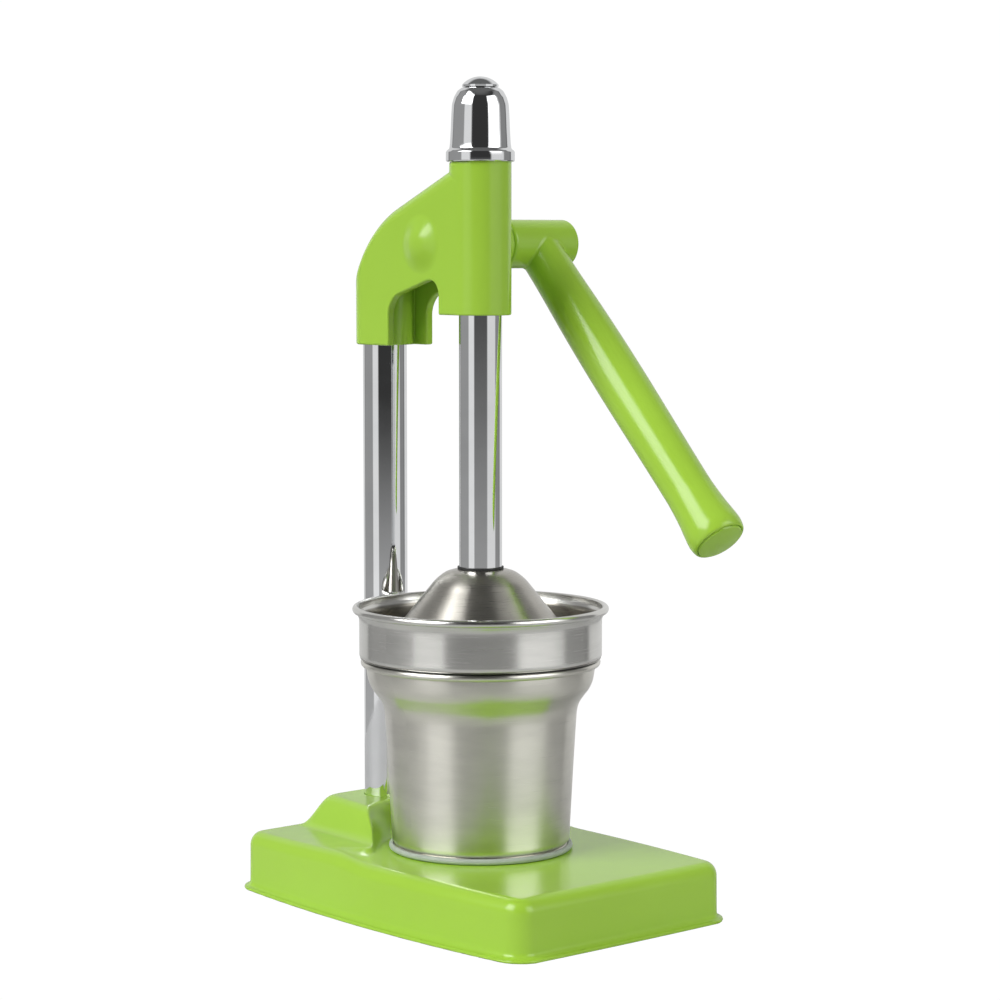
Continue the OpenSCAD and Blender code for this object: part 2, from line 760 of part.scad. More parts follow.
base_pan();
support_plate();
foot_studs();
rubber_feet();
foot_nuts();
column_tube();
column_plug();
column_bolt();
column_washer();
head_casting();
column_set_screws();
upper_guide_bush();
lower_guide_bush();
left_shaft_bush();
right_shaft_bush();
cross_shaft();
pinion();
pinion_key();
thrust_washers();
handle_lever();
handle_end_plug();
handle_set_screw();
plunger_rod();
rack_bar();
rack_screws();
cap_dome();
cap_screw();
bell_gasket();
press_bell();
bell_washer();
bell_bolt();
juice_bowl();
strainer_cone();
juice_cup();
cup_foot_ring();
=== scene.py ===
import json
import math

import bpy
import numpy as np
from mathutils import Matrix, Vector


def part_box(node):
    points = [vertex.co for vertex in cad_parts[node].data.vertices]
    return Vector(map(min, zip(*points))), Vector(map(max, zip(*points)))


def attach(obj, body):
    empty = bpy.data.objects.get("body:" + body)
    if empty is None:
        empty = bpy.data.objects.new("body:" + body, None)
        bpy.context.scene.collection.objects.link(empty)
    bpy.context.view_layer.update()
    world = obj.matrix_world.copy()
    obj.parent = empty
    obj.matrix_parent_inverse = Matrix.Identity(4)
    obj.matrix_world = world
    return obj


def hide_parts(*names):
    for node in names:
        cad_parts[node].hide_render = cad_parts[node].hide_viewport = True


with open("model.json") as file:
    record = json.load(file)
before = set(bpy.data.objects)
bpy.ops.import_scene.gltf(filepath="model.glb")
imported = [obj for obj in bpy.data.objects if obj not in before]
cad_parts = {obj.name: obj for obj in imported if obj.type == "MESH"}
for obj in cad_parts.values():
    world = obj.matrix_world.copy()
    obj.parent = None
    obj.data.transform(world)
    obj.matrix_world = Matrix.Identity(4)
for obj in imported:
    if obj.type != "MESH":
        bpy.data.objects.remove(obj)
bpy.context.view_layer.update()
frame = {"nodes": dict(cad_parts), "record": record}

# Shapes are worked out in millimetres, on the frame's own axes, and stored in metres.
MM = 0.001


def box_mm(node):
    """A node's lowest and highest corners, in millimetres."""
    low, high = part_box(node)
    return np.array(low) / MM, np.array(high) / MM


# ------------------------------------------------------------------ sizes, from the frame

column_low, column_high = box_mm("column_tube")
rod_low, rod_high = box_mm("plunger_rod")
head_low, head_high = box_mm("head_casting")
shaft_low, shaft_high = box_mm("cross_shaft")
base_low, base_high = box_mm("base_pan")
bell_low, bell_high = box_mm("press_bell")
cap_low, cap_high = box_mm("cap_dome")
knob_low, knob_high = box_mm("cap_screw")
lever_low, lever_high = box_mm("handle_lever")
screws_low, screws_high = box_mm("column_set_screws")

COLUMN_Y = (column_low[1] + column_high[1]) / 2
COLUMN_R = (column_high[0] - column_low[0]) / 2
PRESS_Y = (cap_low[1] + cap_high[1]) / 2
ROD_R = (rod_high[0] - rod_low[0]) / 2
SHAFT_Y = (shaft_low[1] + shaft_high[1]) / 2
SHAFT_Z = (shaft_low[2] + shaft_high[2]) / 2
HEAD_R = head_high[1] - COLUMN_Y
HEAD_LOW = head_low[2]
SLEEVE_LOW = box_mm("lower_guide_bush")[0][2]
SLEEVE_TOP = head_high[2]
HUMP_Z = base_high[2]
RING_LOW = box_mm("cup_foot_ring")[0][2]
DECK_Z = RING_LOW - 0.1
CUP_FLOOR = DECK_Z + 2
CUP_TOP = box_mm("juice_cup")[1][2]
BOWL_R, _, BOWL_TOP = box_mm("juice_bowl")[1]


# ------------------------------------------------------------------ mesh helpers

def add_piece(name, points, faces, body, material, replaces=(), normals=None, sharp=38):
    """Links a mesh given in millimetres and lets it ride on a CAD body."""
    mesh = bpy.data.meshes.new(name)
    mesh.from_pydata((np.asarray(points) * MM).tolist(), [], faces)
    mesh.update()
    mesh.shade_smooth()
    if normals is None:
        mesh.set_sharp_from_angle(angle=math.radians(sharp))
    else:
        mesh.normals_split_custom_set_from_vertices(normals.tolist())
    mesh.materials.append(material)
    piece = bpy.data.objects.new(name, mesh)
    bpy.context.scene.collection.objects.link(piece)
    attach(piece, body)
    if replaces:
        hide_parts(*replaces)


def add_surface(name, field, low, high, cell, body, replaces):
    """Adds an enamelled piece, meshed from its distance field in a box."""
    margin = 1.5
    points, faces, normals = surface(field, low - margin, high + margin, cell)
    add_piece(name, points, faces, body, GREEN, replaces, normals)


def add_turned(name, outline, body, material, node, segments=192, axis_y=None):
    """Adds a turned piece that stands for a CAD node."""
    points, faces = revolve(outline, segments, axis_y)
    add_piece(name, points, faces, body, material, (node,))


def arc(r, z, radius, start, stop, step):
    """Points on an arc round (r, z), with its angles in degrees."""
    angles = np.radians(np.arange(start, stop, step))
    return [(r + radius * math.cos(a), z + radius * math.sin(a)) for a in angles]


def rounded(corners, step=10):
    """A closed outline from (r, z, rounding radius) corners, each rounding drawn as an arc."""
    outline = []
    count = len(corners)
    for i, (r, z, radius) in enumerate(corners):
        here = np.array([r, z], float)
        if radius <= 0:
            outline.append(here)
            continue
        to_last = np.array(corners[i - 1][:2], float) - here
        to_next = np.array(corners[(i + 1) % count][:2], float) - here
        last_len, next_len = np.linalg.norm(to_last), np.linalg.norm(to_next)
        u, v = to_last / last_len, to_next / next_len
        angle = math.acos(max(-1.0, min(1.0, float(u @ v))))
        if angle > math.radians(177):
            outline.append(here)
            continue
        reach = min(radius / math.tan(angle / 2), 0.48 * last_len, 0.48 * next_len)
        radius = reach * math.tan(angle / 2)
        centre = here + (u + v) / np.linalg.norm(u + v) * radius / math.sin(angle / 2)
        start, end = here + u * reach - centre, here + v * reach - centre
        a0, a1 = math.atan2(start[1], start[0]), math.atan2(end[1], end[0])
        turn = (a1 - a0 + math.pi) % (2 * math.pi) - math.pi
        steps = max(2, int(math.ceil(abs(math.degrees(turn)) / step)))
        for k in range(steps + 1):
            a = a0 + turn * k / steps
            outline.append(centre + radius * np.array([math.cos(a), math.sin(a)]))
    return outline


def curve(points, steps=8):
    """Points on a smooth curve through the given points."""
    p = [np.array(q, float) for q in points]
    p = [2 * p[0] - p[1]] + p + [2 * p[-1] - p[-2]]
    out = []
    for i in range(1, len(p) - 2):
        for k in range(steps):
            t = k / steps
            out.append(0.5 * (2 * p[i] + (p[i + 1] - p[i - 1]) * t
                              + (2 * p[i - 1] - 5 * p[i] + 4 * p[i + 1] - p[i + 2]) * t * t
                              + (3 * p[i] - p[i - 1] - 3 * p[i + 1] + p[i + 2]) * t ** 3))
    out.append(p[-2])
    return out


def inward(line, thickness):
    """The line moved to its left by a thickness, in reverse order."""
    line = [np.array(q, float) for q in line]
    out = []
    for i, q in enumerate(line):
        d = line[min(i + 1, len(line) - 1)] - line[max(i - 1, 0)]
        d /= np.linalg.norm(d)
        out.append(q + thickness * np.array([-d[1], d[0]]))
    return out[::-1]


def revolve(outline, segments=192, axis_y=None):
    """Points and faces of a closed outline of (r, z) turned about the plunger's axis."""
    axis_y = PRESS_Y if axis_y is None else axis_y
    points, rings, faces = [], [], []
    for r, z in outline:
        if r < 1e-4:
            rings.append([len(points)])
            points.append((0, axis_y, z))
            continue
        rings.append(list(range(len(points), len(points) + segments)))
        for k in range(segments):
            a = 2 * math.pi * k / segments
            points.append((r * math.cos(a), axis_y + r * math.sin(a), z))
    area = sum(a[0] * b[1] - b[0] * a[1] for a, b in zip(outline, list(outline[1:]) + [outline[0]]))
    for one, two in zip(rings, rings[1:] + rings[:1]):
        if len(one) == 1 and len(two) == 1:
            continue
        for k in range(segments):
            n = (k + 1) % segments
            if len(one) == 1:
                face = [one[0], two[n], two[k]]
            elif len(two) == 1:
                face = [one[k], one[n], two[0]]
            else:
                face = [one[k], one[n], two[n], two[k]]
            faces.append(face if area > 0 else face[::-1])
    return points, faces


# Signed distance helpers: negative inside, millimetres.

def both(a, b, r=0.0):
    """Where a and b overlap, with the edge between them rounded to r."""
    if r <= 0:
        return np.maximum(a, b)
    return np.minimum(np.maximum(a, b), -r) + np.hypot(np.maximum(a + r, 0), np.maximum(b + r, 0))


def either(a, b, r=0.0):
    """a and b together, with a fillet of r in the corner between them."""
    if r <= 0:
        return np.minimum(a, b)
    return np.maximum(np.minimum(a, b), r) - np.hypot(np.maximum(r - a, 0), np.maximum(r - b, 0))


def without(a, b, r=0.0):
    """a with b taken away, and the edge left rounded to r."""
    return both(a, -b, r)


def surface(field, low, high, cell, relax=4):
    """Quad mesh of the surface where field(x, y, z) is zero, with its exact normals."""
    low = np.array(low, float) + cell * np.array([0.137, 0.291, 0.373])
    counts = [int(math.ceil((h - l) / cell)) + 1 for l, h in zip(low, high)]
    axes = [low[i] + cell * np.arange(counts[i]) for i in range(3)]
    value = field(axes[0][:, None, None], axes[1][None, :, None], axes[2][None, None, :])
    value = np.broadcast_to(value, counts)
    inside = value < 0
    cells = [c - 1 for c in counts]
    total = np.zeros(cells + [3])
    hits = np.zeros(cells)
    crossings = []
    for axis in range(3):
        near = [slice(None)] * 3
        far = [slice(None)] * 3
        near[axis], far[axis] = slice(0, -1), slice(1, None)
        where = np.argwhere(inside[tuple(near)] != inside[tuple(far)])
        step = np.zeros(3, int)
        step[axis] = 1
        v0 = value[tuple(where.T)]
        v1 = value[tuple((where + step).T)]
        point = low + cell * (where + (v0 / (v0 - v1))[:, None] * step)
        others = [a for a in range(3) if a != axis]
        for da in (-1, 0):
            for db in (-1, 0):
                index = where.copy()
                index[:, others[0]] += da
                index[:, others[1]] += db
                ok = np.all((index >= 0) & (index < cells), axis=1)
                flat = np.ravel_multi_index(index[ok].T, cells)
                for c in range(3):
                    total[..., c] += np.bincount(flat, point[ok, c], int(np.prod(cells))).reshape(cells)
                hits += np.bincount(flat, minlength=int(np.prod(cells))).reshape(cells)
        crossings.append((axis, others, where, v0 < 0))
    number = -np.ones(cells, int)
    used = hits > 0
    number[used] = np.arange(used.sum())
    points = total[used] / hits[used][:, None]
    quads = []
    for axis, others, where, starts_inside in crossings:
        ok = np.all((where[:, others] > 0) & (where[:, others] < np.array(cells)[others]), axis=1)
        where, starts_inside = where[ok], starts_inside[ok]
        ring = []
        for da, db in ((-1, -1), (0, -1), (0, 0), (-1, 0)):
            index = where.copy()
            index[:, others[0]] += da
            index[:, others[1]] += db
            ring.append(number[tuple(index.T)])
        quad = np.stack(ring, 1)
        flip = starts_inside if axis == 1 else ~starts_inside
        quad[flip] = quad[flip][:, ::-1]
        quads.append(quad)
    quads = np.concatenate(quads)

    def gradient(p):
        h = 0.02
        g = np.empty_like(p)
        for c in range(3):
            up, down = p.copy(), p.copy()
            up[:, c] += h
            down[:, c] -= h
            g[:, c] = (field(*up.T) - field(*down.T)) / (2 * h)
        return g

    def settle(p):
        for _ in range(2):
            g = gradient(p)
            move = field(*p.T)[:, None] * g / np.maximum((g * g).sum(1), 0.05)[:, None]
            length = np.linalg.norm(move, axis=1, keepdims=True)
            p = p - move * np.minimum(1, 0.5 * cell / np.maximum(length, 1e-9))
        return p

    points = settle(points)
    ends = np.concatenate([quads[:, [i, (i + 1) % 4]] for i in range(4)])
    ends = np.concatenate([ends, ends[:, ::-1]])
    degree = np.bincount(ends[:, 0], minlength=len(points))[:, None]
    for _ in range(relax):
        mean = np.stack([np.bincount(ends[:, 0], points[ends[:, 1], c], len(points)) for c in range(3)], 1)
        points = settle(0.5 * points + 0.5 * mean / degree)
    normal = gradient(points)
    normal /= np.maximum(np.linalg.norm(normal, axis=1, keepdims=True), 1e-9)
    return points, quads.tolist(), normal


# ------------------------------------------------------------------ materials

class Nodes:
    """Short names for building a node tree."""

    def __init__(self, tree):
        self.tree = tree

    def node(self, kind, **settings):
        node = self.tree.nodes.new(kind)
        for key, value in settings.items():
            setattr(node, key, value)
        return node

    def link(self, source, target):
        """Links a source to a socket, or sets the socket if the source is a number or a colour."""
        if isinstance(source, (int, float)):
            target.default_value = source
        elif isinstance(source, tuple):
            target.default_value = (*source, 1)
        else:
            self.tree.links.new(source, target)

    def math(self, operation, *values):
        node = self.node("ShaderNodeMath", operation=operation)
        for value, socket in zip(values, node.inputs):
            self.link(value, socket)
        return node.outputs[0]

    def split(self, vector):
        node = self.node("ShaderNodeSeparateXYZ")
        self.link(vector, node.inputs[0])
        return node.outputs["X"], node.outputs["Y"], node.outputs["Z"]

    def place(self, scale=(1, 1, 1)):
        """Object coordinates stretched by a scale."""
        coords = self.node("ShaderNodeTexCoord")
        mapping = self.node("ShaderNodeMapping")
        mapping.inputs["Scale"].default_value = scale
        self.link(coords.outputs["Object"], mapping.inputs["Vector"])
        return mapping.outputs["Vector"]

    def around(self, axis_y, turn, rise):
        """Coordinates that run round a vertical axis: angle, height and radius."""
        x, y, z = self.split(self.place())
        y = self.math("SUBTRACT", y, axis_y * MM)
        angle = self.math("ARCTAN2", y, x)
        radius = self.math("SQRT", self.math("MULTIPLY_ADD", y, y, self.math("MULTIPLY", x, x)))
        joined = self.node("ShaderNodeCombineXYZ")
        for value, scale, socket in zip((angle, z, radius), (turn, rise, rise), joined.inputs):
            self.link(self.math("MULTIPLY", value, scale), socket)
        return joined.outputs[0]

    def noise(self, vector, scale, detail=3.0, rough=0.5):
        node = self.node("ShaderNodeTexNoise")
        node.inputs["Scale"].default_value = scale
        node.inputs["Detail"].default_value = detail
        node.inputs["Roughness"].default_value = rough
        self.link(vector, node.inputs["Vector"])
        return node.outputs["Fac"]

    def ramp(self, value, low, high, start=0.3, end=0.7, shape="LINEAR"):
        """low where the value is at start, high where it is at end."""
        node = self.node("ShaderNodeMapRange", interpolation_type=shape)
        names = ("Value", "From Min", "From Max", "To Min", "To Max")
        for name, source in zip(names, (value, start, end, low, high)):
            self.link(source, node.inputs[name])
        return node.outputs["Result"]

    def blend(self, value, one, two):
        """Mix of two colours, each a tuple or another node's output."""
        node = self.node("ShaderNodeMix", data_type="RGBA")
        first, second = [socket for socket in node.inputs if socket.type == "RGBA"]
        self.link(one, first)
        self.link(two, second)
        self.link(value, node.inputs[0])
        return [socket for socket in node.outputs if socket.type == "RGBA"][0]

    def mottled(self, vector, scale, detail, one, two):
        """Noise between two colours."""
        return self.blend(self.ramp(self.noise(vector, scale, detail), 0, 1), one, two)

    def bump(self, height, distance, strength=0.5, after=None):
        node = self.node("ShaderNodeBump")
        node.inputs["Strength"].default_value = strength
        node.inputs["Distance"].default_value = distance
        self.link(height, node.inputs["Height"])
        if after is not None:
            self.link(after, node.inputs["Normal"])
        return node.outputs["Normal"]

    def for_camera(self, seen, unseen, output):
        """Sends one shader to the camera's own rays and the other to all the rest."""
        choice = self.node("ShaderNodeMixShader")
        path = self.node("ShaderNodeLightPath")
        self.link(path.outputs["Is Camera Ray"], choice.inputs[0])
        self.link(unseen, choice.inputs[1])
        self.link(seen, choice.inputs[2])
        self.link(choice.outputs[0], output.inputs["Surface"])


class Material(Nodes):
    """A new material's node tree, around one shader."""

    def __init__(self, name):
        self.material = bpy.data.materials.new(name)
        self.material.use_nodes = True
        super().__init__(self.material.node_tree)
        self.shader = self.tree.nodes["Principled BSDF"]

    def dress(self, colour, roughness, normal, **plain):
        """Links colour, roughness and normal, and sets the values that are plain all over."""
        for name, source in (("Base Color", colour), ("Roughness", roughness), ("Normal", normal)):
            self.link(source, self.shader.inputs[name])
        for name, value in plain.items():
            self.shader.inputs[name.replace("_", " ")].default_value = value
        return self.material


def enamel():
    """Thick glossy enamel with a faint orange peel."""
    n = Material("green_enamel")
    where = n.place()
    peel = n.bump(n.noise(where, 420, 2), 0.00002)
    return n.dress(n.mottled(where, 14, 2, (0.390, 0.664, 0.053), (0.410, 0.694, 0.063)),
                   n.ramp(n.noise(where, 90, 4), 0.17, 0.23),
                   n.bump(n.noise(where, 55, 2), 0.00006, 0.4, peel),
                   Coat_Weight=0.08, Coat_Roughness=0.05)


def chrome():
    n = Material("chrome_plate")
    where = n.place()
    drawn = n.place((1, 1, 0.08))
    return n.dress(n.mottled(where, 60, 3, (0.86, 0.87, 0.88), (0.92, 0.93, 0.94)),
                   n.ramp(n.noise(where, 160, 5), 0.03, 0.075),
                   n.bump(n.noise(drawn, 300, 2), 0.000006), Metallic=1.0)


def stainless(name, colour, rough, grain=1.0, painted_shade_within_r=None, painted_shadow_below_z=None):
    """Spun sheet steel. Within a radius its colour is darker, a painted shade inside the bowl, and below a
    height it is near black, a painted shadow in the seam.
    """
    n = Material(name)
    scratch = n.noise(n.around(PRESS_Y, 0.8, 2200), 2.2, 4, 0.65)
    per_metre = 120
    broad = n.around(PRESS_Y, 1.2, per_metre)
    shade = n.mottled(broad, 1.3, 3, tuple(0.90 * part for part in colour), colour)
    # painted shade and painted shadow: the colour goes darker within a radius and near black below a height
    if painted_shade_within_r is not None:
        _, height, radius = n.split(broad)
        soft = 0.02
        painted_shade_colour, painted_shadow_colour = (0.30, 0.285, 0.25), (0.03, 0.03, 0.028)
        for value, limit, tone in ((radius, painted_shade_within_r, painted_shade_colour), (height, painted_shadow_below_z, painted_shadow_colour)):
            edge = limit * MM * per_metre
            shade = n.blend(n.ramp(value, 1, 0, edge - soft, edge + soft), shade, tone)
    tangent = n.node("ShaderNodeTangent", direction_type="RADIAL", axis="Z")
    n.link(tangent.outputs[0], n.shader.inputs["Tangent"])
    return n.dress(shade, n.ramp(scratch, rough - 0.03, rough + 0.04), n.bump(scratch, 0.000004 * grain),
                   Metallic=1.0, Anisotropic=0.8, Anisotropic_Rotation=0.25)


def machined(name, colour, rough):
    n = Material(name)
    where = n.place()
    turned = n.place((1, 1, 6))
    return n.dress(n.mottled(where, 220, 4, tuple(0.8 * part for part in colour), colour),
                   n.ramp(n.noise(where, 500, 4), rough - 0.06, rough + 0.1),
                   n.bump(n.noise(turned, 600, 3), 0.00002), Metallic=1.0)


def rubber(name, colour):
    n = Material(name)
    where = n.place()
    return n.dress(n.mottled(where, 180, 4, tuple(0.85 * part for part in colour), colour),
                   n.ramp(n.noise(where, 700, 3), 0.45, 0.62),
                   n.bump(n.noise(where, 1500, 3), 0.00003))


GREEN = enamel()
CHROME = chrome()
CUP_STEEL = stainless("satin_steel", (0.80, 0.785, 0.715), 0.30)
# the bowl gets painted shade inside its wall, and a painted shadow in its seam on the cup's bead and below it
BOWL_STEEL = stainless("spun_steel", (0.80, 0.795, 0.76), 0.24, 0.7, 53.2, CUP_TOP + 0.55)
BELL_STEEL = stainless("bell_steel", (0.56, 0.54, 0.49), 0.29, 0.8)
STEEL = machined("plain_steel", (0.52, 0.53, 0.55), 0.32)
BRONZE = machined("bronze", (0.60, 0.42, 0.20), 0.36)
BLACK = rubber("black_rubber", (0.025, 0.025, 0.025))
GREY = rubber("grey_rubber", (0.47, 0.53, 0.46))

slot_material = {"green_enamel": GREEN, "chrome": CHROME, "stainless": CUP_STEEL, "steel": STEEL,
                 "bronze": BRONZE, "black_rubber": BLACK, "grey_rubber": GREY}
for part in frame["record"]["subparts"]:
    data = frame["nodes"][part["node"]].data
    data.materials.clear()
    data.materials.append(slot_material[part["material_slot"]])


# ------------------------------------------------------------------ base

BASE_W = base_high[0]           # half width of the rim at mid length
BASE_Y = (base_low[1] + base_high[1]) / 2
BASE_L = base_high[1] - BASE_Y  # half length of the rim
RIM_Z = base_low[2] - 0.5
RIM_T = 1.5
SHEET = 1.7
SIDE_BOW = 6.7                  # how far the long sides curve in at the corners
END_BOW = 0.6
CORNER = 12.0
FLARE = 3.0                     # width of the rim round the walls
DRAFT = 0.012
FILLET = 6.0
RECESS_R = 42.0                 # hollow round the cup's foot
SWEEP_R, SWEEP_Y = 66.0, -32    # wider hollow ahead of it, over the whole deck
RECESS_BLEND = 8
STEP_H = 2.25                   # how far the deck's rear stands above the hollow
HUMP_FOOT, HUMP_FOOT_TAPER = 33.5, 10 / 69     # half width at y 90, and its growth forwards
HUMP_CREST, HUMP_CREST_TAPER = 21.5, 4.5 / 38  # the same for the flat top, at y 80


def ease(t):
    """Smooth step from 0 to 1."""
    t = np.clip(t, 0, 1)
    return t * t * t * (t * (6 * t - 15) + 10)


def base_edge(x, y):
    """Distance outside the rim's bowed, round-cornered outline."""
    wide = x / (1 - SIDE_BOW / BASE_W * (y / BASE_L) ** 2)
    long = y / (1 - END_BOW / BASE_L * (x / BASE_W) ** 2)
    dx, dy = np.abs(wide) - BASE_W + CORNER, np.abs(long) - BASE_L + CORNER
    return np.hypot(np.maximum(dx, 0), np.maximum(dy, 0)) + np.minimum(np.maximum(dx, dy), 0) - CORNER


def hump_share(side, y):
    """0 outside the rear hump, 1 on its flat top."""
    foot = HUMP_FOOT + (90 - y) * HUMP_FOOT_TAPER
    crest = HUMP_CREST + (80 - y) * HUMP_CREST_TAPER
    across = (foot - side) / (foot - crest)
    back = (91.5 - y) / 12.5
    lower = -np.log(np.exp(-6 * across) + np.exp(-6 * back)) / 6
    return ease(0.5 + (np.clip(lower, -0.4, 1.6) - 0.5) * 0.86)


def deck_height(x, y):
    """Height of the pressed deck with its rear step, hump and hollow round the cup."""
    side = np.abs(x)
    step = 0.15 + (STEP_H - 0.15) * np.clip((88 - y) / 66, 0, 1)
    hump = hump_share(side, y) * (HUMP_Z - DECK_Z - step)
    ring = np.hypot(x, y + BASE_Y - PRESS_Y) - RECESS_R
    away = either(ring, np.hypot(x, y - SWEEP_Y) - SWEEP_R, RECESS_BLEND)
    # the hollow's wall is steep at the step, leans back at the hump and fades towards the long sides
    width = 3.0 + 11.5 * np.clip(hump / 14, 0, 1) + 18.0 * ease((side - 42) / 16)
    return DECK_Z + (step + hump) * ease((away - 0.2) / width) * ease((y + 52) / 34)


def base_block(x, y, z, inset):
    """The pan's solid block, moved inwards by an inset."""
    h = 0.25
    gx = (deck_height(x + h, y) - deck_height(x - h, y)) / (2 * h)
    gy = (deck_height(x, y + h) - deck_height(x, y - h)) / (2 * h)
    lid = (z - deck_height(x, y)) / np.sqrt(1 + gx * gx + gy * gy)
    wall = base_edge(x, y) + FLARE + DRAFT * (z - RIM_Z)
    return both(wall + inset, lid + inset, FILLET - inset)


def base_field(x, y, z):
    y = y - BASE_Y
    rim = both(base_edge(x, y), np.abs(z - RIM_Z - RIM_T / 2) - RIM_T / 2, 0.7)
    shell = either(base_block(x, y, z, 0.0), rim, 2.4)
    shell = both(shell, RIM_Z - z)
    shell = without(shell, base_block(x, y, z, SHEET))
    hole = np.hypot(x, y + BASE_Y - COLUMN_Y) - COLUMN_R - 0.05
    return without(shell, both(hole, 30 - z))


add_surface("base_shell", base_field, base_low, base_high, 0.9, "frame", ("base_pan",))


# ------------------------------------------------------------------ head and column

SLOPE = math.radians(23.5)      # of the crown, from the sleeve down to the rear
CROWN_R = 56.0                  # of the round rear shoulder
CROWN_FRONT = SLEEVE_TOP - 4.4
CROWN_SOFT = 9.0
LEG_TAPER = 0.6
PLATE = 4.4
LEG_Y = COLUMN_Y - 18.6
ARCH_SLOPE = math.radians(17)
ARCH_RISE = 8.0
ARCH_REACH = 4.9
ARCH_FRONT_R = 9.0
ARCH_REAR_R = 7
SOCKET_R = 13.3
BEARING_R = 9.5
BOSS_R = 11.0
BOSS_X, BOSS_HALF = 21.5, 11.0
DOME_R, DOME_PROUD = 16.5, 3.3
SHAFT_CLEAR_R = 7
BUSH_SEAT_R, BUSH_SEAT_H = 12, 12
PINION_CLEAR_R = 18.2
KEYWAY_HALF = 2.9
WINDOW_HALF = 6.2
SCREW_R = 3.0


def crown(y, z):
    """Distance above the head's sloping crown and round rear shoulder."""
    centre_y = COLUMN_Y + HEAD_R - CROWN_R
    line = (y - PRESS_Y - HEAD_R) * math.sin(SLOPE) + (z - CROWN_FRONT) * math.cos(SLOPE)
    meet_y = centre_y + CROWN_R * math.sin(SLOPE)
    meet_z = CROWN_FRONT - (meet_y - PRESS_Y - HEAD_R) * math.tan(SLOPE)
    centre_z = meet_z - CROWN_R * math.cos(SLOPE)
    bend = np.hypot(y - centre_y, np.maximum(z - centre_z, 0)) - CROWN_R
    past = (y - meet_y) * math.cos(SLOPE) - (z - meet_z) * math.sin(SLOPE)
    return np.where(past > 0, bend, line)


def arch_field(y, z):
    """The opening between the sleeve and the column's leg, and all that lies under the sleeve."""
    low_y, low_z = y - LEG_Y + ARCH_REACH, z - SLEEVE_LOW - ARCH_RISE
    ceiling = low_z * math.cos(ARCH_SLOPE) + low_y * math.sin(ARCH_SLOPE)
    arch = both(y - LEG_Y, ceiling, ARCH_REAR_R)
    arch = both(arch, PRESS_Y + HEAD_R - 0.6 - y, ARCH_FRONT_R)
    under_sleeve = both(y - PRESS_Y - HEAD_R - 8, z - SLEEVE_LOW)
    return either(arch, under_sleeve)


def hollow_field(x, y, over, from_shaft):
    """The space between the side plates, with the column's socket and the bearings standing in it."""
    hollow = both(np.abs(x) - HEAD_R + PLATE, over + 6.0, 3)
    hollow = both(hollow, PRESS_Y + HEAD_R + 0.6 - y)
    hollow = both(hollow, y - COLUMN_Y + 4)
    hollow = without(hollow, np.hypot(x, y - COLUMN_Y) - SOCKET_R, 1.0)
    return without(hollow, both(from_shaft - BEARING_R, 6.1 - np.abs(x)), 0.6)


def head_field(x, y, z):
    along = np.clip(y, PRESS_Y, COLUMN_Y)
    taper = LEG_TAPER * (along - PRESS_Y) / (COLUMN_Y - PRESS_Y)
    plan = np.hypot(x, y - along) - HEAD_R + taper
    in_edge = np.clip(np.abs(x) - HEAD_R + CROWN_SOFT, 0, CROWN_SOFT - 0.05)
    over = crown(y, z) + CROWN_SOFT - np.sqrt(CROWN_SOFT ** 2 - in_edge ** 2)
    from_shaft = np.hypot(y - SHAFT_Y, z - SHAFT_Z)
    from_press = np.hypot(x, y - PRESS_Y)
    body = both(plan, over, 0.6)
    body = both(body, HEAD_LOW - z, 0.9)
    body = without(body, hollow_field(x, y, over, from_shaft))
    body = without(body, arch_field(y, z), 0.9)
    middle, half = (SLEEVE_TOP + SLEEVE_LOW) / 2, (SLEEVE_TOP - SLEEVE_LOW) / 2
    sleeve = both(from_press - HEAD_R, np.abs(z - middle) - half, 0.7)
    body = np.minimum(body, sleeve)
    # boss for the shaft on the right, domed end of the bearing on the left
    boss = both(from_shaft - BOSS_R, np.abs(x - BOSS_X) - BOSS_HALF, 0.6)
    body = either(body, boss, 1.6)
    dome = np.hypot(x + HEAD_R + DOME_PROUD - DOME_R, from_shaft) - DOME_R
    body = either(body, both(dome, x + HEAD_R - 2), 2.2)
    # bores for the rod and its bushes, the rack's keyway and the pinion's window
    end = half - np.abs(z - middle)
    body = without(body, from_press - np.where(end < BUSH_SEAT_H, BUSH_SEAT_R, ROD_R + 1))
    keyway = both(np.abs(x) - KEYWAY_HALF, both(PRESS_Y - y, y - PRESS_Y - 12.1))
    body = without(body, keyway)
    window = both(np.abs(x) - WINDOW_HALF, both(from_shaft - PINION_CLEAR_R, PRESS_Y + 4 - y))
    body = without(body, window)
    # the column's socket, the shaft's bore and the set screws behind the column
    column = both(np.hypot(x, y - COLUMN_Y) - COLUMN_R - 0.05, z - column_high[2] - 0.2)
    body = without(body, column)
    body = without(body, both(from_shaft - SHAFT_CLEAR_R, -13.4 - x))
    for height in (screws_low[2] + SCREW_R, screws_high[2] - SCREW_R):
        screw = both(np.hypot(x, z - height) - SCREW_R, COLUMN_Y + 6 - y)
        body = without(body, screw, 0.3)
    return body


add_surface("head", head_field, head_low, head_high, 0.62, "frame", ("head_casting",))

COLUMN_BORE_R = COLUMN_R - 1.5
column_bottom, column_top = column_low[2], column_high[2]
add_turned("column", rounded([(COLUMN_BORE_R, column_bottom, 0.2), (COLUMN_R, column_bottom, 0.3),
                              (COLUMN_R, column_top, 0.3), (COLUMN_BORE_R, column_top, 0.2)]),
           "frame", CHROME, "column_tube", segments=160, axis_y=COLUMN_Y)


# ------------------------------------------------------------------ lever

